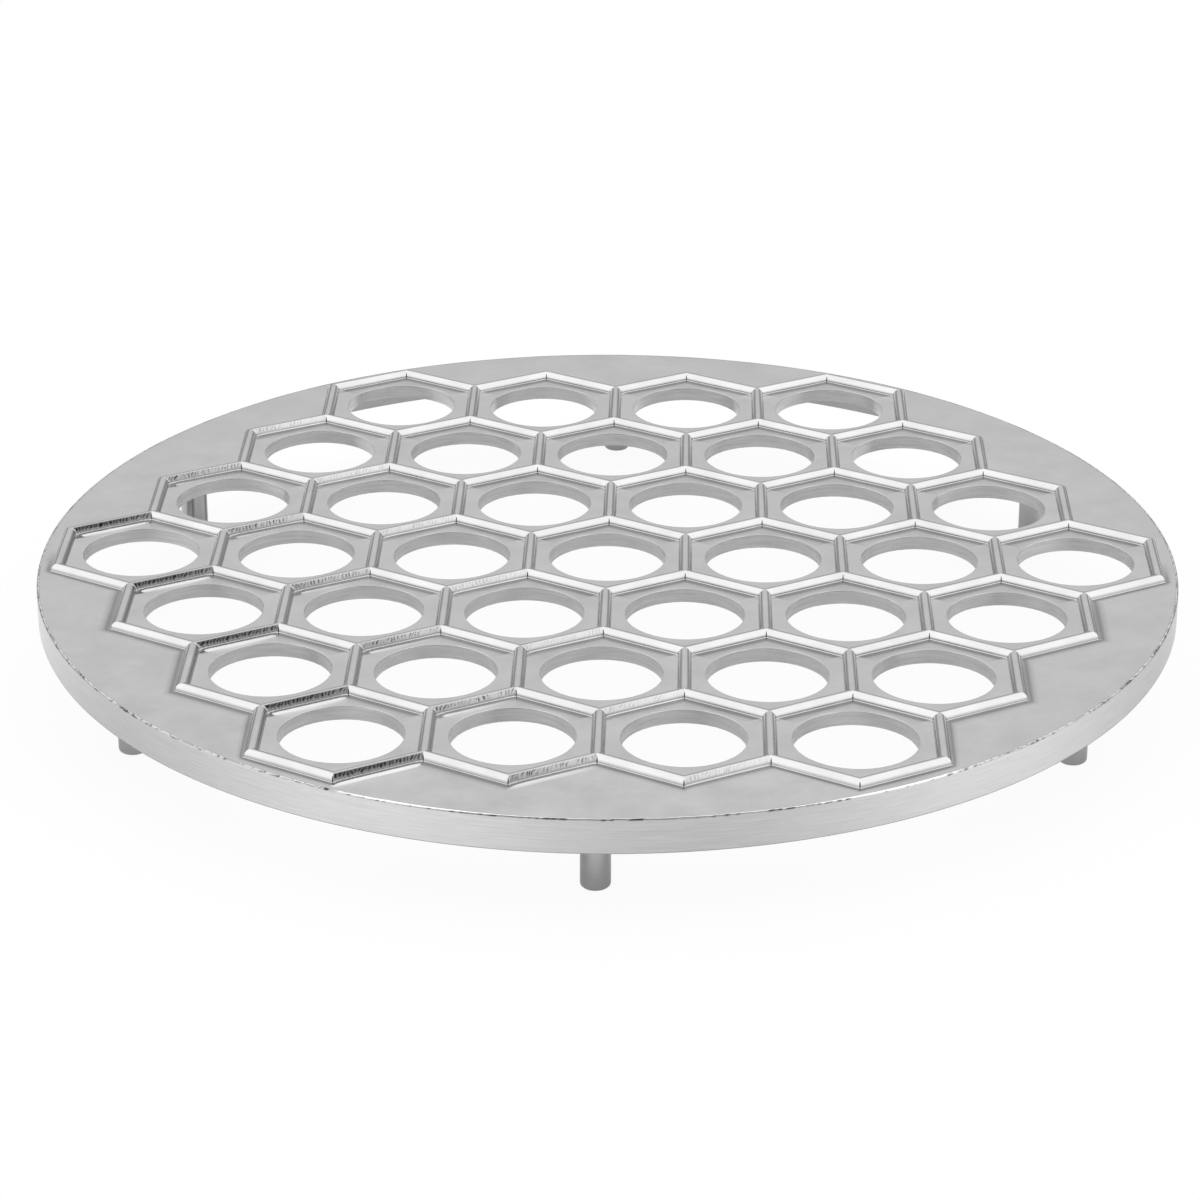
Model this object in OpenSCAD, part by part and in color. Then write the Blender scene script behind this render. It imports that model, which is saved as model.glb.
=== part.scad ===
// Mould for pelmeni: a round cast aluminium plate that stands on six pegs.
// A honeycomb of low rounded ridges stands on the plate and cuts the dough, and each cell has a round
// hole in its middle for the filling. A plain rim runs down round the plate's edge.
// It is one casting, so it is one solid. The origin is on the table, under the middle of the plate.

/* [Honeycomb] */
// Distance between the middles of two neighbouring cells
pitch = 33.5; // [28:0.5:45]
// Rings of cells round the one in the middle; three rings make 37 cells
rings = 3; // [1:1:5]
// Diameter of the hole in each cell
hole_d = 25; // [16:0.5:27]
// Width of a ridge where it stands on the plate
ridge_w = 2.7; // [2:0.1:4]
// Height of a ridge above the plate
ridge_h = 1.4; // [1:0.1:1.6]
// Width of the flat that use has worn along the top of a ridge
crest_w = 0.6; // [0.4:0.1:1]

/* [Plate and rim] */
// Thickness of the plate
plate_t = 3; // [2.4:0.1:5]
// From the centre line of the outermost ridge corner to the plate's edge
edge_land = 4.2; // [3:0.1:20]
// Height of the rim, from the plate's top face to its lower edge
rim_h = 7.4; // [6:0.1:12]
// Thickness of the rim's wall
rim_t = 3; // [2.4:0.1:4]
// Radius on the plate's upper edge, which the lathe left nearly sharp
top_edge_r = 0.4; // [0.2:0.1:1]
// Radius on both sides of the rim's lower edge
foot_edge_r = 0.6; // [0.2:0.1:1]

/* [Legs] */
// Number of legs
leg_count = 6; // [3:1:6]
// Height of the plate's top face above the table
stand_h = 19.8; // [15:0.1:30]
// Diameter of a leg
leg_d = 6; // [4:0.5:8]
// From the plate's edge to the centre line of a leg
leg_inset = 11; // [9:0.5:16]
// Radius on the lower edge of a leg
leg_edge_r = 0.7; // [0.2:0.1:1.5]
// Fillet where a leg, and the rim, grow out of the underside
cast_fillet_r = 1.2; // [0.5:0.1:2]

/* [Hidden] */
$fn = 96;

// Steps in a quarter of a small edge radius
edge_steps = 5;
// Room by which a cutting shape runs past what it cuts
past = 1;
// Direction of the first leg, which puts one leg at the front
first_leg_angle = 30;

// Levels above the table
plate_top = stand_h;
plate_under = stand_h - plate_t;
rim_foot = stand_h - rim_h;
ridge_top = stand_h + ridge_h;
// Depth to which the ridges and legs are rooted in the plate
root = plate_t / 2;

// A ridge is a round bar, sunk in the plate: its round passes through both edges of the ridge's foot on
// the plate's top face, and through both edges of the worn flat
ridge_axis = plate_top + (pow(ridge_h, 2) - (pow(ridge_w, 2) - pow(crest_w, 2)) / 4) / (2 * ridge_h);
ridge_r = norm([ridge_w / 2, ridge_axis - plate_top]);

// Half the distance between two opposite sides of a cell
apothem = pitch / 2;
corner_r = pitch * norm([rings + 1 / 2, 1 / sqrt(12)]);
plate_r = corner_r + edge_land;
rim_in = plate_r - rim_t;
leg_circle_r = plate_r - leg_inset;

// The cells lie on a triangular grid, counted in steps along two directions 60 degrees apart.
// The next ring round them is bare plate, which the outermost ridges border on.
cells = places_within(rings);
bare_places = [for (c = places_within(rings + 1)) if (ring_of(c) > rings) c];
neighbour_steps = [[1, 0], [0, 1], [-1, 1], [-1, 0], [0, -1], [1, -1]];

function places_within(n) = [for (q = [-n:n], s = [max(-n, -q - n):min(n, n - q)]) [q, s]];
function ring_of(c) = max(abs(c[0]), abs(c[1]), abs(c[0] + c[1]));
function middle_of(c) = pitch * [c[0] + c[1] / 2, c[1] * sqrt(3) / 2];

// Points along an arc, for the outlines below
function arc(centre, r, from, to) = [
    for (i = [0:edge_steps])
        let (a = from + (to - from) * i / edge_steps)
        centre + r * [cos(a), sin(a)]
];

// Section through the free room on the near side of a ridge that stands half a cell away. Above the
// ridge it stops short of the ridge's middle, so that the rooms of two neighbours stay apart.
module room_section() {
    bottom = plate_top - root - past;
    difference() {
        translate([-pitch, bottom]) square([pitch + apothem - crest_w / 4, ridge_top + past - bottom]);
        translate([apothem, ridge_axis]) circle(r = ridge_r);
    }
}

// Free room of one place, bounded by the ridges in the given directions, which mitre in its corners
module room(directions) {
    intersection_for (turn = directions)
        rotate([0, 0, turn])
        rotate([90, 0, 0])
        linear_extrude(height = 2 * pitch, center = true)
        room_section();
}

// Net of ridges: what is left of a disc once the room of every place has been taken out
module ridge_net() {
    difference() {
        translate([0, 0, plate_top - root]) cylinder(r = corner_r + ridge_w, h = root + ridge_h);
        for (c = cells) translate(middle_of(c)) room([0:60:300]);
        for (c = bare_places)
            translate(middle_of(c))
            room([for (k = [0:5]) if (ring_of(c + neighbour_steps[k]) == rings) 60 * k]);
    }
}

// Half section through the plate and its rim
module plate_section() {
    polygon(concat(
        [[0, plate_under]],
        arc([rim_in - cast_fillet_r, plate_under - cast_fillet_r], cast_fillet_r, 90, 0),
        arc([rim_in + foot_edge_r, rim_foot + foot_edge_r], foot_edge_r, 180, 270),
        arc([plate_r - foot_edge_r, rim_foot + foot_edge_r], foot_edge_r, 270, 360),
        arc([plate_r - top_edge_r, plate_top - top_edge_r], top_edge_r, 0, 90),
        [[0, plate_top]]
    ));
}

// Peg with a worn lower edge and a fillet at its root
module leg() {
    leg_r = leg_d / 2;
    rotate_extrude() polygon(concat(
        [[0, 0]],
        arc([leg_r - leg_edge_r, leg_edge_r], leg_edge_r, 270, 360),
        arc([leg_r + cast_fillet_r, plate_under - cast_fillet_r], cast_fillet_r, 180, 90),
        [[leg_r + cast_fillet_r, plate_under + root], [0, plate_under + root]]
    ));
}

module hole() {
    translate([0, 0, plate_under - past]) cylinder(d = hole_d, h = plate_t + 2 * past);
}

module mold() {
    color("silver") difference() {
        union() {
            rotate_extrude() plate_section();
            ridge_net();
            for (i = [0:leg_count - 1])
                rotate([0, 0, first_leg_angle + i * 360 / leg_count])
                translate([leg_circle_r, 0, 0])
                leg();
        }
        for (c = cells) translate(middle_of(c)) hole();
    }
}

mold();
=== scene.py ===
# %% [markdown]
# # A cast mould for pelmeni
#
# The object is one aluminium casting: a round plate with 37 holes, a honeycomb of low round
# ridges that cut the dough, a rim that stiffens the plate's edge, and six pegs that it stands on.
#
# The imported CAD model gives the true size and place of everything. It is built of exact surfaces,
# but its mesh is loose triangles with coarse round edges. Here the casting is modelled once more
# as one clean quad mesh, with the soft edges, the tool marks and the worn lip that the real one
# has.

import math

import bmesh
import bpy
from mathutils import Matrix, Vector, noise


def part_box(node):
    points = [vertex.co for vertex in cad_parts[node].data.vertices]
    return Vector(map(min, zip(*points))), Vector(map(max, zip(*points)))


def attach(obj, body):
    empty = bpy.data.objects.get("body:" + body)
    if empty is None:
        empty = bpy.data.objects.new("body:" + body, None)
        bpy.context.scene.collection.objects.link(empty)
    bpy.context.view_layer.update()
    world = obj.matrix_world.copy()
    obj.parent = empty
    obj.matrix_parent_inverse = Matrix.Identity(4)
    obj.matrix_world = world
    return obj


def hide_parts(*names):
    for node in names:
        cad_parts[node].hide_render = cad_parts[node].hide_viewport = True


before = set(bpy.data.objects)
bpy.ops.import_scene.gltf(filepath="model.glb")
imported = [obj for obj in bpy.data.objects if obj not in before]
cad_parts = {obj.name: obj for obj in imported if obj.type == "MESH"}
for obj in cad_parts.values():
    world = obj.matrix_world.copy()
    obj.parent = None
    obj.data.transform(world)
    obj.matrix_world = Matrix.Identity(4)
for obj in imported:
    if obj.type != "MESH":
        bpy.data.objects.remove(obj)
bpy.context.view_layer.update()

# %% [markdown]
# ## Sizes
#
# Everything is in metres. The driving sizes are the ones a maker would write on the drawing. The
# levels and the plate's radius are read off the CAD part's bounds, so the new mesh can't drift away
# from the CAD model. WELD is no size of the mould: two points that lie closer than this count as
# one.

# %% Driving sizes
MM = 0.001
PITCH = 33.5 * MM
RINGS = 3
HOLE_R = 12.5 * MM
RIDGE_W = 2.7 * MM
RIDGE_H = 1.4 * MM
CREST_W = 0.6 * MM
PLATE_T = 3.0 * MM
RIM_H = 7.4 * MM
RIM_T = 3.0 * MM
WELD = 0.002 * MM
LEG_R = 3.0 * MM
LEG_INSET = 11.0 * MM
LEG_COUNT = 6
FIRST_LEG_ANGLE = math.radians(30)

low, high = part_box("mold")
plate_r = (high.y - low.y) / 2
ridge_top = high.z
plate_top = ridge_top - RIDGE_H
plate_under = plate_top - PLATE_T
rim_foot = plate_top - RIM_H
rim_in = plate_r - RIM_T
print(f"plate {2000 * plate_r:.1f} mm across, its face {1000 * plate_top:.1f} mm above the table")

# %% [markdown]
# ## The camera
#
# The photograph was taken with a long lens from just above the plate. Lens, distance and height
# were found by fitting the 37 hole centres, so the model falls on the same places in the frame.

# %% Camera
PHOTO_PX = 1200
LENS_PX = 3970.7
SENSOR_MM = 36.0
CAMERA_PLACE = Vector((15.22, -781.37, 365.09)) * MM
LOOK_DOWN = math.radians(24.46)
LOOK_LEFT = math.radians(1.2325)
ROLL = math.radians(0.0805)

camera_data = bpy.data.cameras.new("photo_camera")
camera_data.sensor_width = SENSOR_MM
camera_data.lens = LENS_PX / PHOTO_PX * SENSOR_MM
camera = bpy.data.objects.new("photo_camera", camera_data)
camera.location = CAMERA_PLACE
aim = Matrix.Rotation(LOOK_LEFT, 3, "Z") @ Matrix.Rotation(math.pi / 2 - LOOK_DOWN, 3, "X")
camera.rotation_euler = (aim @ Matrix.Rotation(ROLL, 3, "Z")).to_euler()
bpy.context.scene.collection.objects.link(camera)
bpy.context.scene.camera = camera
print(f"lens {camera_data.lens:.1f} mm, looking down {math.degrees(LOOK_DOWN):.1f} degrees")

# %% [markdown]
# ## One cell
#
# A cell is a hexagon outside and a circle inside, with half a ridge along its six sides. It could
# be cut out of a plate with a boolean, but that leaves long thin triangles round the hole. Here
# it starts as a hexagon on the crest of the ridges. Its edge is extruded ring by ring: down the
# round flank, over the small foot fillet, across the flat into a circle, down the wall of the
# hole and back along the underside. Every ring has the same number of vertices, so the mesh is
# all quads that follow the form.

# %% A ring of vertices and how it grows
FOOT_R = 0.12 * MM
EDGE_R = 0.08 * MM
ROUND_STEPS = 2
AS_CAST, TURNED, BORED = range(3)


def extrude_ring(bm, ring, finish=AS_CAST):
    """Extrudes a closed ring of vertices and returns the new ring in the same order."""
    edges = [bm.edges.get((a, b)) for a, b in zip(ring, ring[1:] + ring[:1])]
    made = bmesh.ops.extrude_edge_only(bm, edges=edges)["geom"]
    fresh = {v for v in made if isinstance(v, bmesh.types.BMVert)}
    grown = [next(e.other_vert(v) for e in v.link_edges if e.other_vert(v) in fresh) for v in ring]
    for face in {f for v in grown for f in v.link_faces}:
        face.material_index = finish
    return grown


def arc(centre, radius, start, end, steps):
    """Points (across, up) along an arc, angles in degrees."""
    turns = [math.radians(start + (end - start) * i / steps) for i in range(steps + 1)]
    return [(centre[0] + radius * math.cos(a), centre[1] + radius * math.sin(a)) for a in turns]


# %% Half a ridge, from the middle of its worn crest to the plate
FLANK_STEPS = 7
axis_up = (RIDGE_H**2 - (RIDGE_W**2 - CREST_W**2) / 4) / (2 * RIDGE_H)
ridge_r = math.hypot(RIDGE_W / 2, axis_up)
crest_angle = math.degrees(math.acos(CREST_W / 2 / ridge_r))
foot_angle = math.degrees(math.asin((FOOT_R - axis_up) / ridge_r))
foot_out = ridge_r * math.cos(math.radians(foot_angle)) + FOOT_R

half_ridge = arc((0, plate_top + axis_up), ridge_r, crest_angle, foot_angle, FLANK_STEPS)
half_ridge += arc((foot_out, plate_top + FOOT_R), FOOT_R, 180, 270, ROUND_STEPS)[1:]
print(f"a half ridge has {len(half_ridge)} steps and is {1000 * foot_out:.2f} mm wide at its foot")

# %% Where the steps along a ridge lie
# They crowd towards both ends, so that the mitres stay crisp under smooth shading.
APOTHEM = PITCH / 2
CORNER = PITCH / math.sqrt(3)
MITRE_SUPPORT = 0.22 * MM
SIDE_STEPS = 12
end_share = MITRE_SUPPORT / CORNER
inner_shares = [
    end_share + (1 - 2 * end_share) * (1 - math.cos(math.pi * i / (SIDE_STEPS - 2))) / 2
    for i in range(SIDE_STEPS - 1)
]
side_shares = [0] + inner_shares
print("steps along a ridge, in mm:", [round(1000 * CORNER * share, 2) for share in side_shares])

# %% The cell itself
# A painted shade lies in the corner below the faces that look to the front, as a dark band painted
# on the foot and the flat before it. A vertex attribute carries it, from 0 for plain metal to 1 for
# full painted darkness. Two rings of vertices on the flat hold it close to the ridge's foot. Seen
# from the cell's first corner, those faces span a third of a turn. ANGLE_SLACK keeps that corner at
# 0, where rounding could make it a full turn.
FIRST_CORNER = math.radians(30)
SHADE_AT_FOOT = 0.42
SHADE_RINGS = ((0.9 * MM, 0.62), (1.8 * MM, 0.2))
SHADE_END = 2.8 * MM
SHADE_SPAN = (0.01, math.radians(119))
ANGLE_SLACK = 1e-5


def turn_of(point):
    """How far round from the cell's first corner a point lies, from 0 to a full turn."""
    return (math.atan2(point.y, point.x) - FIRST_CORNER + ANGLE_SLACK) % math.tau


def build_cell():
    """One cell round the origin: half its ridges, its flat, the hole and the underside."""
    bm = bmesh.new()
    shade_and_darkening = bm.verts.layers.float.new("shade_and_darkening")
    bmesh.ops.create_circle(bm, cap_ends=False, radius=CORNER, segments=6)
    bmesh.ops.translate(bm, verts=bm.verts, vec=(0, 0, ridge_top))
    corners = sorted((v.co.xy.copy() for v in bm.verts), key=turn_of)
    bmesh.ops.subdivide_edges(bm, edges=bm.edges[:], cuts=SIDE_STEPS - 1)
    ring = sorted(bm.verts, key=lambda v: turn_of(v.co))
    hexagon = [
        corners[i].lerp(corners[(i + 1) % 6], share) for i in range(6) for share in side_shares
    ]

    def on_hexagon(ring, inward, level):
        for v, corner in zip(ring, hexagon):
            v.co.xy = corner * (1 - inward / APOTHEM)
            v.co.z = level

    def on_circle(ring, radius, level):
        for v in ring:
            v.co.xy = v.co.xy.normalized() * radius
            v.co.z = level

    def lay_painted_shade(ring, strength):
        for v in ring:
            faces_front = SHADE_SPAN[0] < turn_of(v.co) < SHADE_SPAN[1]
            v[shade_and_darkening] = strength if faces_front else 0

    on_hexagon(ring, 0, ridge_top)
    for across, up in half_ridge:
        ring = extrude_ring(bm, ring)
        on_hexagon(ring, across, up)
    lay_painted_shade(ring, SHADE_AT_FOOT)
    for reach, painted_shade in SHADE_RINGS:
        ring = extrude_ring(bm, ring)
        on_hexagon(ring, foot_out + reach, plate_top)
        lay_painted_shade(ring, painted_shade)
    upper = arc((HOLE_R + EDGE_R, plate_top - EDGE_R), EDGE_R, 90, 180, ROUND_STEPS)
    lower = arc((HOLE_R + EDGE_R, plate_under + EDGE_R), EDGE_R, 180, 270, ROUND_STEPS)
    for radius, level in upper + lower:
        ring = extrude_ring(bm, ring, BORED if level == lower[0][1] else AS_CAST)
        on_circle(ring, radius, level)
        lay_painted_shade(ring, 0)
    ring = extrude_ring(bm, ring)
    on_hexagon(ring, 0, plate_under)
    return bm


casting = build_cell()
print("one cell:", len(casting.verts), "vertices,", len(casting.faces), "faces")

# %% [markdown]
# ## The honeycomb
#
# The cells stand on a triangular grid, four to seven in a row. The one cell is duplicated to
# every place and the doubles along the crests are merged, so that two neighbours share one ridge.

# %% Copy the cell to its 37 places


def middle_of(q, s):
    """The middle of the cell in row s, at step q along it."""
    return Vector((PITCH * (q + s / 2), PITCH * s * math.sqrt(3) / 2, 0))


places = [
    (q, s)
    for q in range(-RINGS, RINGS + 1)
    for s in range(max(-RINGS, -q - RINGS), min(RINGS, RINGS - q) + 1)
]
first = casting.verts[:] + casting.edges[:] + casting.faces[:]
for place in places:
    if place != (0, 0):
        copy = bmesh.ops.duplicate(casting, geom=first)["geom"]
        moved = [v for v in copy if isinstance(v, bmesh.types.BMVert)]
        bmesh.ops.translate(casting, verts=moved, vec=middle_of(*place))
bmesh.ops.remove_doubles(casting, verts=casting.verts, dist=WELD)
print(len(places), "cells:", len(casting.faces), "faces")

# %% [markdown]
# ## The land, the rim and the underside's edge
#
# The outer ridges still lack their outer half. The honeycomb's outline is walked once, and each
# point gets the direction that leads straight out from its ridge. At a corner that is the mitre
# between two ridges. The outline is then extruded along these directions: down the same half
# ridge, across the bare land to a circle, round the rim, and under the plate back to the outline.

# %% Walk the outline
STRAIGHT = math.radians(170)


def walk_outline(bm, level):
    """The open edge at this level as one ring of vertices, starting at a corner."""
    edges = [e for e in bm.edges if e.is_boundary and abs(e.verts[0].co.z - level) < WELD]
    links = {}
    for e in edges:
        for v in e.verts:
            links.setdefault(v, []).append(e.other_vert(v))

    def bends(v):
        a, b = (w.co - v.co for w in links[v])
        return a.angle(b) < STRAIGHT

    ring = [next(v for v in links if bends(v))]
    ring.append(links[ring[0]][0])
    while True:
        onward = [w for w in links[ring[-1]] if w is not ring[-2]][0]
        if onward is ring[0]:
            break
        ring.append(onward)
    turn = sum(a.co.xy.cross(b.co.xy) for a, b in zip(ring, ring[1:] + ring[:1]))
    return ring if turn > 0 else [ring[0]] + ring[:0:-1]


def outward_directions(ring):
    """For each vertex the way out from its ridge, for one unit across, mitred at every corner."""
    corners = [v.co.xy for v in ring[::SIDE_STEPS]]
    count = len(corners)
    sides = [(corners[(i + 1) % count] - corners[i]).normalized() for i in range(count)]
    normals = [Vector((d.y, -d.x)) for d in sides]
    mitres = [
        (normals[i - 1] + normals[i]) / (1 + normals[i - 1].dot(normals[i])) for i in range(count)
    ]
    return [
        mitres[i].lerp(mitres[(i + 1) % count], share)
        for i in range(count)
        for share in side_shares
    ]


outline = walk_outline(casting, ridge_top)
outward = outward_directions(outline)
crest_line = [v.co.xy.copy() for v in outline]
print("the outline has", len(outline) // SIDE_STEPS, "corners and", len(outline), "vertices")

# %% Down the outer half of the ridges
# The painted shade has its full strength where the way out points at least this much to the front.
FULL_SHADE_FROM = 0.5

shade_and_darkening = casting.verts.layers.float["shade_and_darkening"]
ring = outline
for across, up in half_ridge:
    ring = extrude_ring(casting, ring)
    for v, home, out in zip(ring, crest_line, outward):
        v.co = (*(home + out * across), up)

facing = [min(max(-out.y / FULL_SHADE_FROM, 0), 1) for out in outward]
for v, front in zip(ring, facing):
    v[shade_and_darkening] = SHADE_AT_FOOT * front
# The vertices whose way out points to the front get the painted shade.
with_shade = sum(front > 0 for front in facing)
print("the ring at their feet has", len(ring), "vertices, of which", with_shade, "get a film")

# %% Across the land, round the rim and back under the plate
# The rings of the painted shade follow the ridges at a constant distance, where there is room for
# it.
# Close to the rim they are held back, so that they keep their order.
TOP_EDGE_R = 0.4 * MM
RIM_FOOT_R = 0.3 * MM
FILLET_R = 1.2 * MM
LIP_STEPS = 3
LIP_GUARD = 0.3 * MM
LAND_FOR_SHADE = 0.8

land_start = [v.co.xy.copy() for v in ring]
land_end = plate_r - TOP_EDGE_R
for reach, painted_shade in (*SHADE_RINGS, (SHADE_END, 0), (land_end, 0)):
    ring = extrude_ring(casting, ring)
    most = min(reach / SHADE_END * LAND_FOR_SHADE, 1)
    for v, start, front in zip(ring, land_start, facing):
        goal = start.normalized() * (land_end - LIP_GUARD)
        v.co.xy = start.lerp(goal, min(reach / (goal - start).length, most))
        v[shade_and_darkening] = painted_shade * front
ring = extrude_ring(casting, ring)
for v in ring:
    v.co.xy = v.co.xy.normalized() * land_end

lip_points = arc((plate_r - TOP_EDGE_R, plate_top - TOP_EDGE_R), TOP_EDGE_R, 90, 0, LIP_STEPS)[1:]
side_end = rim_foot + RIM_FOOT_R
turned_points = [(plate_r, plate_top - TOP_EDGE_R - LIP_GUARD), (plate_r, side_end)]
inner_points = arc((plate_r - RIM_FOOT_R, side_end), RIM_FOOT_R, 0, -90, ROUND_STEPS)[1:]
inner_points += arc((rim_in + RIM_FOOT_R, side_end), RIM_FOOT_R, 270, 180, ROUND_STEPS)
inner_points += arc((rim_in - FILLET_R, plate_under - FILLET_R), FILLET_R, 0, 90, LIP_STEPS)
for points, finish in ((lip_points, TURNED), (turned_points, TURNED), (inner_points, AS_CAST)):
    for radius, level in points:
        ring = extrude_ring(casting, ring, finish)
        for v in ring:
            v.co = (*(v.co.xy.normalized() * radius), level)

ring = extrude_ring(casting, ring)
for v, home in zip(ring, crest_line):
    v.co = (*home, plate_under)
bmesh.ops.remove_doubles(casting, verts=casting.verts, dist=WELD)
bmesh.ops.recalc_face_normals(casting, faces=casting.faces)
open_edges = [e for e in casting.edges if not e.is_manifold]
print("plate, ridges and rim:", len(casting.faces), "faces,", len(open_edges), "open edges")

# %% [markdown]
# ## The legs
#
# Each leg is a peg that grows out of the underside with a small fillet and ends in a worn round
# edge. A half section is spun once round. The six pegs are then joined to the plate by an exact
# boolean, because they are cast in one with it, so that the object is one closed skin.

# %% Turn one leg
# The fillet stops just short of level, so that the boolean cuts it at an angle.
LEG_EDGE_R = 0.7 * MM
LEG_SEGMENTS = 32
ROOT = 1.0 * MM
FILLET_STOP = 96
leg_circle_r = plate_r - LEG_INSET

section = [(0, 0)]
section += arc((LEG_R - LEG_EDGE_R, LEG_EDGE_R), LEG_EDGE_R, 270, 360, LIP_STEPS)
section += arc((LEG_R + FILLET_R, plate_under - FILLET_R), FILLET_R, 180, FILLET_STOP, LIP_STEPS)
section += [(LEG_R + FILLET_R, plate_under + ROOT), (0, plate_under + ROOT)]

legs = bmesh.new()
for i in range(LEG_COUNT):
    leg_turn = FIRST_LEG_ANGLE + i * math.tau / LEG_COUNT
    foot = Vector((math.cos(leg_turn), math.sin(leg_turn), 0)) * leg_circle_r
    points = [legs.verts.new(foot + Vector((across, 0, up))) for across, up in section]
    lines = [legs.edges.new(pair) for pair in zip(points, points[1:])]
    bmesh.ops.spin(
        legs, geom=points + lines, cent=foot, axis=(0, 0, 1), angle=math.tau, steps=LEG_SEGMENTS,
        use_merge=True,
    )
bmesh.ops.remove_doubles(legs, verts=legs.verts, dist=WELD)
bmesh.ops.recalc_face_normals(legs, faces=legs.faces)
print("legs:", len(legs.faces), "faces,", sum(not e.is_manifold for e in legs.edges), "open edges")

# %% Join plate and legs
# The boolean can leave an edge of nearly no length where it cuts close to a vertex, so such edges
# are dissolved.


def as_object(bm, name):
    """Turns a bmesh into an object in the scene."""
    mesh = bpy.data.meshes.new(name)
    bm.to_mesh(mesh)
    bm.free()
    thing = bpy.data.objects.new(name, mesh)
    bpy.context.scene.collection.objects.link(thing)
    return thing


def evaluated_mesh(thing):
    """The object's mesh with its modifiers applied."""
    evaluated = thing.evaluated_get(bpy.context.evaluated_depsgraph_get())
    return bpy.data.meshes.new_from_object(evaluated)


body = as_object(casting, "casting")
pegs = as_object(legs, "pegs")
joint = body.modifiers.new("pegs", "BOOLEAN")
joint.operation = "UNION"
joint.solver = "EXACT"
joint.object = pegs
casting = bmesh.new()
casting.from_mesh(evaluated_mesh(body))
bmesh.ops.dissolve_degenerate(casting, edges=casting.edges, dist=WELD / 10)
body.modifiers.clear()
bpy.data.objects.remove(pegs)
open_edges = [e for e in casting.edges if not e.is_manifold]
print("with the legs:", len(casting.faces), "faces,", len(open_edges), "open edges")

# %% [markdown]
# ## Tool marks
#
# On the left the ridges that run up to the right were dressed by hand, and the file left slanting
# scores on their front faces. Their colour is darkened there: a painted reflection in and between
# the scores, and a painted shade low on the face. The scores are strongest at the far left and fade
# out towards the middle. The metal that the file pushed down lies as a small bead along the foot,
# and the painted shade is cleared from it. A bump map could draw the scores, but they would not be
# in the mesh. So the strips of these 18 ridges are cut finer along their length, and the vertices
# are pushed in where a score runs. A vertex attribute tells the material how dark to paint it
# there.

# %% Which ridges are scored
# They run in the direction of a cell's first corner.
SCORED_ROWS = (-3, -2, -1)
SCORES_FADE_OUT = 15 * MM
SCORES_REACH = 102 * MM
ridge_way = Vector((math.cos(FIRST_CORNER), math.sin(FIRST_CORNER)))
face_way = Vector((ridge_way.y, -ridge_way.x))

score_end = foot_out + SHADE_RINGS[-1][0] + WELD
scored = []
for q, s in places:
    for side in (1, -1):
        middle = middle_of(q, s).xy - face_way * APOTHEM * side
        if q + s in SCORED_ROWS and all((middle - other).length > WELD for other, _ in scored):
            scored.append((middle, s == -RINGS and side == -1))
print(len(scored), "ridges are scored")


def on_scored_ridge(point):
    """Where a point lies on the scored ridge that it belongs to: along it, across it, and how far
    from its end. None if it lies on no scored ridge. The front ridges start at an outer corner,
    where the mitre makes their face longer."""
    for middle, at_front in scored:
        along, across = (point.xy - middle).dot(ridge_way), (point.xy - middle).dot(face_way)
        widens = at_front and along < 0 < across
        to_end = CORNER / 2 * (1 + (across if widens else -abs(across)) / APOTHEM) - abs(along)
        if abs(across) < score_end and to_end > -WELD:
            return along, across, to_end
    return None


def wear_at(point):
    """How strong the scores are here, from 0 to 1."""
    reach = (SCORES_FADE_OUT - point.xy.dot(ridge_way)) / SCORES_REACH
    return min(max(reach, 0), 1) ** 2


# %% Cut the strips of these ridges finer
FINEST = 0.24 * MM
INWARD_SHARE = 0.01


def rungs_of(crest_edge):
    """The edges of one strip, from the crest down both flanks to the foot."""
    rungs = [crest_edge]
    for face in crest_edge.link_faces:
        rung = crest_edge
        while True:
            rung = next(e for e in face.edges if not set(e.verts) & set(rung.verts))
            if rung.verts[0].co.z < plate_top + FOOT_R - WELD:
                break
            rungs.append(rung)
            face = next(f for f in rung.link_faces if f is not face)
    return rungs


strips = {}
for edge in casting.edges:
    ends = [v.co for v in edge.verts]
    if min(ends[0].z, ends[1].z) > ridge_top - WELD:
        centre = sum(ends, Vector()) / 2
        spots = [on_scored_ridge(end.lerp(centre, INWARD_SHARE)) for end in ends]
        if all(spots) and max(abs(spot[1]) for spot in spots) < WELD:
            cuts = round(edge.calc_length() / FINEST) - 1
            strips.setdefault(cuts, []).extend(rungs_of(edge))
for cuts, edges in strips.items():
    if cuts > 0:
        bmesh.ops.subdivide_edges(casting, edges=edges, cuts=cuts, use_grid_fill=True)
print("with finer strips:", len(casting.faces), "faces")

# %% How the scores run
# The tilt of a face is the angle of its normal from upright, in radians. The scores start just
# beside the crest and end at the foot. They wander by a slow noise, and a second noise makes them
# strong and weak.
SCORE_PITCH = 0.8 * MM
SCORE_DEPTH = 0.08 * MM
SCORE_SLANT = 0.7
SCORE_WANDER, WANDER_SIZE = 5, 1.3 * MM
STRENGTH, STRENGTH_SWING, STRENGTH_SIZE = 0.45, 1.2, 1.8 * MM
OTHER_NOISE = Vector((7, 0, 0))
SCORED_FROM, SCORED_TO, SCORED_FADE = math.radians(2), math.radians(98), 0.4
END_FADE = 0.3 * MM
# The painted darkness on the scored faces: a painted reflection over the face and a painted shade
# on its low part.
DARK_REFLECTION, DARK_REFLECTION_GROWTH, THINS_LOW_DOWN = 0.85, 1.2, 0.4
LOW_FACE_SHADE = 0.5
LOW_FACE = (0.75, 1.3)


def soft_step(value, start, end):
    """Rises softly from 0 to 1 while the value goes from start to end."""
    share = min(max((value - start) / (end - start), 0), 1)
    return share * share * (3 - 2 * share)


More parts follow.
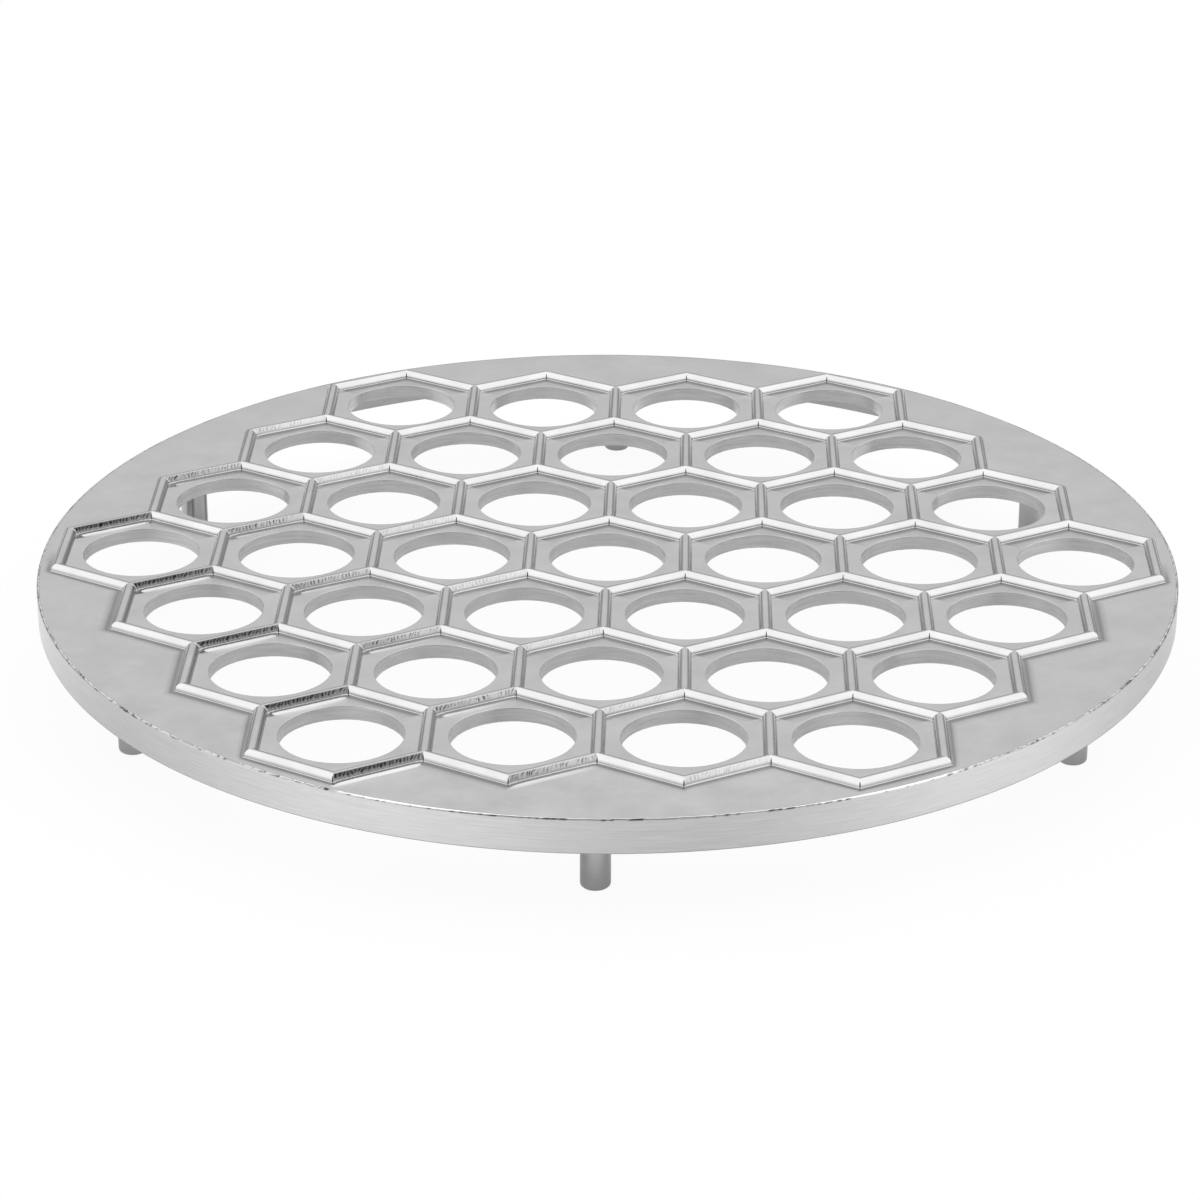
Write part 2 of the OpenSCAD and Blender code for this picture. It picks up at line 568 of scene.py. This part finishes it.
def groove_at(point, along, across, wear):
    """How deep a score is at a point, from 0 between two scores to 1."""
    wander = SCORE_WANDER * noise.noise(point / WANDER_SIZE)
    wave = math.cos(math.tau * (along + SCORE_SLANT * across) / SCORE_PITCH + wander)
    strength = STRENGTH + STRENGTH_SWING * noise.noise(point / STRENGTH_SIZE + OTHER_NOISE)
    return max(wave, 0) ** 2 * min(max(strength + wear / 2, 0), 1)


def share_on_face(tilt, to_end):
    """1 on the scored face, falling softly to 0 at the crest, the foot and the ridge's ends."""
    share = soft_step(tilt, SCORED_FROM, SCORED_FROM + SCORED_FADE)
    share *= soft_step(tilt, SCORED_TO, SCORED_TO - SCORED_FADE) * soft_step(to_end, 0, END_FADE)
    return share


def reflection_and_shade_at(tilt, wear):
    """The painted darkness between the scores: a painted reflection over the face, and where the
    wear is slight, a painted shade on the face's low part.
    """
    low_face = soft_step(tilt, *LOW_FACE)
    all_over = DARK_REFLECTION * wear**DARK_REFLECTION_GROWTH * (1 - THINS_LOW_DOWN * low_face)
    return all_over + LOW_FACE_SHADE * math.sqrt(wear) * (1 - wear) * low_face


# %% Press the scores in
# The bead lies on the small fillet at the foot. It grows from the fillet's top down to the plate.
BEAD_OUT = 0.4 * MM
BEAD_H = 0.22 * MM
BEAD_END_FADE = 1.5 * MM
BEAD_CLEARS_SHADE = 1.8
BEAD_FROM = 0.01

shade_and_darkening = casting.verts.layers.float["shade_and_darkening"]
pressed = 0
for v in casting.verts:
    spot = on_scored_ridge(v.co) if v.co.z > plate_top - WELD else None
    if spot is None or spot[1] < -foot_out - WELD:
        continue
    along, across, to_end = spot
    tilt = math.atan2(across, v.co.z - plate_top - axis_up)
    wear = wear_at(v.co)
    on_face = share_on_face(tilt, to_end)
    groove = groove_at(v.co, along, across, wear)
    outward_normal = Vector((*(face_way * math.sin(tilt)), math.cos(tilt)))
    v.co -= outward_normal * SCORE_DEPTH * math.sqrt(wear) * groove * on_face
    pressed += groove * on_face > 0
    down_fillet = 1 - (v.co.z - plate_top) / FOOT_R
    if across > 0 and down_fillet > BEAD_FROM:
        bead = wear * down_fillet**2 * soft_step(to_end, 0, BEAD_END_FADE)
        bead *= soft_step(across, score_end - 2 * WELD, foot_out)
        v.co += bead * Vector((*(face_way * BEAD_OUT), BEAD_H))
        # The bead is cleared of the painted shade.
        v[shade_and_darkening] *= max(1 - BEAD_CLEARS_SHADE * wear, 0)
    else:
        # In the grooves the colour is darkened further, as a painted reflection.
        in_groove = math.sqrt(wear) * groove * (1 - soft_step(tilt, *LOW_FACE))
        v[shade_and_darkening] = on_face * min(reflection_and_shade_at(tilt, wear) + in_groove, 1)
print(pressed, "vertices lie in a score")

# %% [markdown]
# ## The worn lip
#
# The rim was turned after casting, and the cutter left a thin burr on its top edge. At the front
# it stands up a few tenths of a millimetre and shines. All round it is nicked. At the front a
# painted shade lies below the burr; elsewhere the upper part of the lip is painted darker, and so
# is the rim's side, most at six places round it. The round edge gets more steps along the rim.
# Then one slow wave raises the burr, and quick noise nicks it.

# %% Finer steps along the lip
LIP_STEP = 0.4 * MM


def on_lip(point):
    """Whether a point lies on the round edge between the land and the side of the rim."""
    return point.xy.length > land_end - WELD and point.z > plate_top - TOP_EDGE_R - WELD


columns = {}
for edge in casting.edges:
    a, b = (v.co for v in edge.verts)
    if on_lip(a) and on_lip(b) and abs(a.z - b.z) < WELD:
        columns.setdefault(round(a.xy.angle(b.xy) * plate_r / LIP_STEP) - 1, []).append(edge)
for cuts, edges in columns.items():
    if cuts > 0:
        bmesh.ops.subdivide_edges(casting, edges=edges, cuts=cuts, use_grid_fill=True)
print("with a finer lip:", len(casting.faces), "faces")

# %% How the lip is worn
# The place across the lip is a share, from 0 at the land to 1 at the side of the rim.
BURR_H = 0.3 * MM
BURR_MEAN, BURR_SWING, BURR_WAVE = 0.8, 0.4, 3 * MM
BURR_AT = math.radians(-84)
BURR_REACH = math.radians(24)
BURR_FULL = BURR_REACH / 3
SHINE_REACH = 1.4 * BURR_REACH
NICK_DEPTH = 0.1 * MM
NICK_SIZE, NICK_GROUP = 1.1 * MM, 6 * MM
NICK_GROUPING = 0.6
NICK_SHARE = 0.3
ABOVE = (-0.3, 0.1), (0.85, 0.5)
BELOW = (0.35, 0.65), (1.05, 0.8)
# How dark the lip is painted in its bands: above, away from the burr, and below, as a painted shade
# under the burr that deepens in the nicks.
DARK_ABOVE = 0.65
SHADE_BELOW, SHADE_IN_NICKS = 0.25, 2
RIM_DARK, RIM_DARK_SWING = 0.19, 0.11
RIM_DARKEST_AT = math.radians(-80)


def rim_darkening(turn):
    """How much darker the side of the rim is painted here, most at six places round it."""
    return RIM_DARK + RIM_DARK_SWING * math.cos(LEG_COUNT * (turn - RIM_DARKEST_AT))


def nick_at(point):
    """How deep a nick is here. The nicks come in groups."""
    return max(noise.noise(point / NICK_SIZE) + NICK_GROUPING * noise.noise(point / NICK_GROUP), 0)


def in_band(share, rise, fall):
    """1 inside a band that runs along the lip, falling softly to 0 on both sides of it."""
    return soft_step(share, *rise) * soft_step(share, *fall)


def lip_shade_and_darkening(share, turn, nick):
    """How dark the lip is painted. Where the burr shines, a painted shade lies only below it, and
    elsewhere the upper part of the lip is darker.
    """
    shine = soft_step(abs(turn - BURR_AT), SHINE_REACH, BURR_REACH)
    plain = (1 - shine) * in_band(share, *ABOVE) * (DARK_ABOVE + nick)
    at_burr = shine * in_band(share, *BELOW) * (SHADE_BELOW + SHADE_IN_NICKS * nick)
    return min(max(plain + at_burr, share * rim_darkening(turn)), 1)


# %% Raise and nick the lip
for v in casting.verts:
    turn = math.atan2(v.co.y, v.co.x)
    if on_lip(v.co):
        height = v.co.z - (plate_top - TOP_EDGE_R)
        share = 1 - math.asin(min(height / TOP_EDGE_R, 1)) / (math.pi / 2)
        radius = land_end + math.sqrt(max(TOP_EDGE_R**2 - height**2, 0))
        burr = soft_step(abs(turn - BURR_AT), BURR_REACH, BURR_FULL)
        flat = Vector((v.co.x, v.co.y, 0))
        nick = nick_at(flat)
        bulge = math.sin(math.pi * share)
        cut = NICK_DEPTH * nick * bulge * (NICK_SHARE + (1 - NICK_SHARE) * burr)
        v.co.xy = v.co.xy.normalized() * (radius - cut)
        wave = BURR_MEAN + BURR_SWING * noise.noise(flat / BURR_WAVE)
        v.co.z += BURR_H * burr * bulge * wave
        v[shade_and_darkening] = lip_shade_and_darkening(share, turn, nick)
    elif v.co.xy.length > plate_r - WELD:
        v[shade_and_darkening] = rim_darkening(turn)
open_edges = [e for e in casting.edges if not e.is_manifold]
print("with the worn lip:", len(casting.faces), "faces,", len(open_edges), "open edges")

# %% [markdown]
# ## The finish
#
# Three surfaces show on the one casting. Most of it is the skin that the mould left: a grey
# aluminium with a low gloss, lightly mottled and finely pitted. The rim's side was turned on a
# lathe, which laid bare a brighter metal with fine streaks round it. The walls of the holes were
# bored and have short streaks of the same kind. The patterns read Object coordinates, so they
# stay on the metal from any side.

# %% Colours and nodes


def srgb(text):
    """A colour written as #rrggbb, in the linear values that shaders use."""
    parts = [int(text[i : i + 2], 16) / 255 for i in (1, 3, 5)]
    return [c / 12.92 if c <= 0.04045 else ((c + 0.055) / 1.055) ** 2.4 for c in parts] + [1]


def add_node(tree, kind, inputs, **settings):
    """Adds a node with its settings. An input is a value, or another node's output to link."""
    node = tree.nodes.new(kind)
    for name, value in settings.items():
        setattr(node, name, value)
    for name, value in inputs.items():
        if isinstance(value, bpy.types.NodeSocket):
            tree.links.new(value, node.inputs[name])
        else:
            node.inputs[name].default_value = value
    return node


def new_metal(name):
    """A material with a bare Principled shader set to metal, and its Object coordinates."""
    material = bpy.data.materials.new(name)
    material.use_nodes = True
    tree = material.node_tree
    tree.nodes.clear()
    shader = add_node(tree, "ShaderNodeBsdfPrincipled", {"Metallic": 1.0})
    add_node(tree, "ShaderNodeOutputMaterial", {"Surface": shader.outputs["BSDF"]})
    place = add_node(tree, "ShaderNodeTexCoord", {}).outputs["Object"]
    return material, tree, shader, place


# %% Painted shade and darkening
# The dark colour painted where the mesh is marked: painted shade at the ridges' feet, below the
# lip's burr and low on the scored faces, a painted reflection on the scored faces, and a darker
# upper lip and rim side. Where it is full, the metal is dull and nearly black.
SHADE_AND_DARKENING_COLOUR = "#1c1c1c"
SHADE_AND_DARKENING_ROUGHNESS = 0.5


def under_shade_and_darkening(tree, shader, tone, gloss):
    """Links colour and roughness to the shader, both changed where the mesh is marked."""
    marked = add_node(tree, "ShaderNodeAttribute", {}, attribute_name="shade_and_darkening").outputs["Fac"]
    colour = add_node(
        tree, "ShaderNodeMix", {"Factor": marked, "A": tone, "B": srgb(SHADE_AND_DARKENING_COLOUR)}, data_type="RGBA"
    )
    roughness = add_node(
        tree, "ShaderNodeMix", {"Factor": marked, "A": gloss, "B": SHADE_AND_DARKENING_ROUGHNESS}
    )
    tree.links.new(colour.outputs["Result"], shader.inputs["Base Color"])
    tree.links.new(roughness.outputs["Result"], shader.inputs["Roughness"])


# %% The skin left by the mould
GRAIN, GRAIN_DEPTH = 0.5 * MM, 0.006 * MM
MOTTLE = 9.0 * MM
WAVINESS, WAVE_DEPTH = 14.0 * MM, 0.12 * MM


def cast_skin():
    """Aluminium as it left the mould: grey with a low gloss, wavy, lightly mottled and pitted."""
    material, tree, shader, place = new_metal("cast_aluminium_skin")
    mottle = add_node(
        tree, "ShaderNodeTexNoise",
        {"Vector": place, "Scale": 1 / MOTTLE, "Detail": 4.0, "Roughness": 0.6},
    ).outputs["Fac"]
    tone = add_node(
        tree, "ShaderNodeMix", {"Factor": mottle, "A": srgb("#ababab"), "B": srgb("#c4c4c4")},
        data_type="RGBA",
    ).outputs["Result"]
    gloss = add_node(
        tree, "ShaderNodeMapRange", {"Value": mottle, "To Min": 0.09, "To Max": 0.16}
    ).outputs["Result"]
    waves = add_node(
        tree, "ShaderNodeTexNoise", {"Vector": place, "Scale": 1 / WAVINESS, "Detail": 0.0}
    ).outputs["Fac"]
    wavy = add_node(
        tree, "ShaderNodeBump", {"Height": waves, "Distance": WAVE_DEPTH, "Strength": 1.0}
    ).outputs["Normal"]
    grain = add_node(
        tree, "ShaderNodeTexNoise",
        {"Vector": place, "Scale": 1 / GRAIN, "Detail": 3.0, "Roughness": 0.6},
    ).outputs["Fac"]
    grainy = add_node(
        tree, "ShaderNodeBump",
        {"Height": grain, "Distance": GRAIN_DEPTH, "Strength": 1.0, "Normal": wavy},
    ).outputs["Normal"]
    under_shade_and_darkening(tree, shader, tone, gloss)
    tree.links.new(grainy, shader.inputs["Normal"])
    return material


# %% The turned rim and the bored walls


def tooled(name, light, dark, length, width, depth):
    """Bare metal with streaks of that length and width round the axis, as a cutter leaves them."""
    material, tree, shader, place = new_metal(name)
    stretched = add_node(
        tree, "ShaderNodeMapping", {"Vector": place, "Scale": (1 / length, 1 / length, 1 / width)}
    ).outputs["Vector"]
    streaks = add_node(
        tree, "ShaderNodeTexNoise",
        {"Vector": stretched, "Scale": 1.0, "Detail": 4.0, "Roughness": 0.65},
    ).outputs["Fac"]
    tone = add_node(
        tree, "ShaderNodeMix", {"Factor": streaks, "A": srgb(dark), "B": srgb(light)},
        data_type="RGBA",
    ).outputs["Result"]
    gloss = add_node(
        tree, "ShaderNodeMapRange", {"Value": streaks, "To Min": 0.42, "To Max": 0.25}
    ).outputs["Result"]
    streaky = add_node(
        tree, "ShaderNodeBump", {"Height": streaks, "Distance": depth, "Strength": 1.0}
    ).outputs["Normal"]
    under_shade_and_darkening(tree, shader, tone, gloss)
    tree.links.new(streaky, shader.inputs["Normal"])
    return material


finishes = {
    AS_CAST: cast_skin(),
    TURNED: tooled("turned_aluminium_rim", "#f8f8f8", "#cccccc", 9 * MM, 0.22 * MM, 0.02 * MM),
    BORED: tooled("bored_aluminium_wall", "#e2e2e2", "#acacac", 8 * MM, 0.5 * MM, 0.02 * MM),
}
print("finishes:", [m.name for m in finishes.values()])

# %% Hand the mesh to its object
# The normals are weighted by face area, so that flat faces stay flat in the shading right up to
# their small round edges. The modifier drops areas under a millionth of a unit, so the mesh is in
# millimetres while it works.
casting.to_mesh(body.data)
casting.free()
for finish in sorted(finishes):
    body.data.materials.append(finishes[finish])
body.data.shade_smooth()
weighting = body.modifiers.new("weighting", "WEIGHTED_NORMAL")
weighting.mode = "FACE_AREA"
body.data.transform(Matrix.Scale(1 / MM, 4))
body.data = evaluated_mesh(body)
body.data.transform(Matrix.Scale(MM, 4))
body.modifiers.clear()
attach(body, "root")
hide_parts("mold")
print("one casting:", sum(len(p.vertices) - 2 for p in body.data.polygons), "triangles")

# %% [markdown]
# ## Floor and studio
#
# The mould stands on a white sweep. A metal shows little but what is round it, so here the world
# is the only light. It is bright overhead and in front, where two large soft panels hang left and
# right with a dark gap between them, and it falls off to a plain grey low down at the back. The
# gap draws the dark lines beside the white ones on the ridges. The panels are weaker low down, so
# that the plate doesn't turn white when it is seen from behind.

# %% The floor
# The camera sees nearly white paper. The metal mirrors less of that glow and more of the paper as
# the studio lights it, which is greyer. The lit paper also takes the mould's soft shadow.
FLOOR_R = 6.0
SEEN_WHITENESS = 0.94
MIRRORED_WHITENESS = 0.3

floor_bm = bmesh.new()
bmesh.ops.create_circle(floor_bm, cap_ends=True, radius=FLOOR_R, segments=64)
floor_mesh = bpy.data.meshes.new("floor")
floor_bm.to_mesh(floor_mesh)
floor_bm.free()
floor = bpy.data.objects.new("floor", floor_mesh)
bpy.context.scene.collection.objects.link(floor)

paper = bpy.data.materials.new("white_sweep")
paper.use_nodes = True
tree = paper.node_tree
tree.nodes.clear()
ray = add_node(tree, "ShaderNodeLightPath", {})
seen = add_node(
    tree, "ShaderNodeMath", {0: ray.outputs["Is Camera Ray"], 1: SEEN_WHITENESS},
    operation="MULTIPLY",
)
mirrored = add_node(
    tree, "ShaderNodeMath", {0: ray.outputs["Is Glossy Ray"], 1: MIRRORED_WHITENESS},
    operation="MULTIPLY",
)
glowing = add_node(
    tree, "ShaderNodeMath", {0: seen.outputs["Value"], 1: mirrored.outputs["Value"]},
    operation="MAXIMUM",
)
matte = add_node(tree, "ShaderNodeBsdfDiffuse", {"Color": srgb("#e2e2e2")})
glow = add_node(tree, "ShaderNodeEmission", {"Color": (1, 1, 1, 1), "Strength": 1.0})
mixed = add_node(
    tree, "ShaderNodeMixShader",
    {0: glowing.outputs["Value"], 1: matte.outputs["BSDF"], 2: glow.outputs["Emission"]},
)
add_node(tree, "ShaderNodeOutputMaterial", {"Surface": mixed.outputs["Shader"]})
floor_mesh.materials.append(paper)

# %% The studio round it
# A direction counts as high when it points up, and by LEAN also when it points to the front. Each
# stop is such a height and the level of light there, in which 1 is white.
BRIGHTEST = 1.88
LEAN = 0.35
STUDIO_STOPS = (
    (-0.32, 0.44), (-0.06, 0.47), (0.02, 1.0), (0.16, 1.0), (0.25, 1.6), (0.45, BRIGHTEST),
)
LOWEST, HIGHEST = -0.4, 1.1
GAP_HALF_ANGLE = math.radians(40)
GAP_SOFTNESS = math.radians(6)
GAP_LEVEL = 0.08
LOW_LEVEL = 1.42
LOW_END, LOW_START = 0.24, 0.44

world = bpy.data.worlds.new("studio")
bpy.context.scene.world = world
world.use_nodes = True
tree = world.node_tree
tree.nodes.clear()
direction = add_node(tree, "ShaderNodeTexCoord", {}).outputs["Generated"]
parts = add_node(tree, "ShaderNodeSeparateXYZ", {"Vector": direction}).outputs


def soft_range(value, start, end):
    """A node that rises softly from 0 to 1 while the value goes from start to end."""
    return add_node(
        tree, "ShaderNodeMapRange", {"Value": value, "From Min": start, "From Max": end},
        interpolation_type="SMOOTHSTEP",
    ).outputs["Result"]


def combine(a, b, operation):
    return add_node(tree, "ShaderNodeMath", {0: a, 1: b}, operation=operation).outputs["Value"]


how_high = add_node(
    tree, "ShaderNodeVectorMath", {0: direction, 1: (0, -LEAN, 1)}, operation="DOT_PRODUCT"
).outputs["Value"]
on_ramp = add_node(
    tree, "ShaderNodeMapRange", {"Value": how_high, "From Min": LOWEST, "From Max": HIGHEST}
).outputs["Result"]
falloff = add_node(tree, "ShaderNodeValToRGB", {"Fac": on_ramp})
stops = falloff.color_ramp.elements
while len(stops) < len(STUDIO_STOPS):
    stops.new(1)
for stop, (height, level) in zip(stops, STUDIO_STOPS):
    stop.position = (height - LOWEST) / (HIGHEST - LOWEST)
    stop.color = (*[level / BRIGHTEST] * 3, 1)

# %% The panels, the gap and the white ground
panels = combine(falloff.outputs["Color"], BRIGHTEST, "MULTIPLY")
low_limit = add_node(
    tree, "ShaderNodeMapRange",
    {
        "Value": parts["Z"], "From Min": LOW_END, "From Max": LOW_START,
        "To Min": LOW_LEVEL, "To Max": BRIGHTEST,
    },
).outputs["Result"]
panels = combine(panels, low_limit, "MINIMUM")
sideways = add_node(tree, "ShaderNodeMath", {0: parts["X"]}, operation="ABSOLUTE").outputs["Value"]
from_front = combine(sideways, combine(0, parts["Y"], "SUBTRACT"), "ARCTAN2")
in_gap = soft_range(from_front, GAP_HALF_ANGLE + GAP_SOFTNESS, GAP_HALF_ANGLE - GAP_SOFTNESS)
lit = add_node(
    tree, "ShaderNodeMix", {"Factor": in_gap, "A": panels, "B": GAP_LEVEL}
).outputs["Result"]
ray = add_node(tree, "ShaderNodeLightPath", {})
strength = add_node(
    tree, "ShaderNodeMix", {"Factor": ray.outputs["Is Camera Ray"], "A": lit, "B": 1.0}
).outputs["Result"]
sky = add_node(tree, "ShaderNodeBackground", {"Color": (1, 1, 1, 1), "Strength": strength})
add_node(tree, "ShaderNodeOutputWorld", {"Surface": sky.outputs["Background"]})

# %% Close the scene
bpy.context.scene.view_settings.view_transform = "Standard"
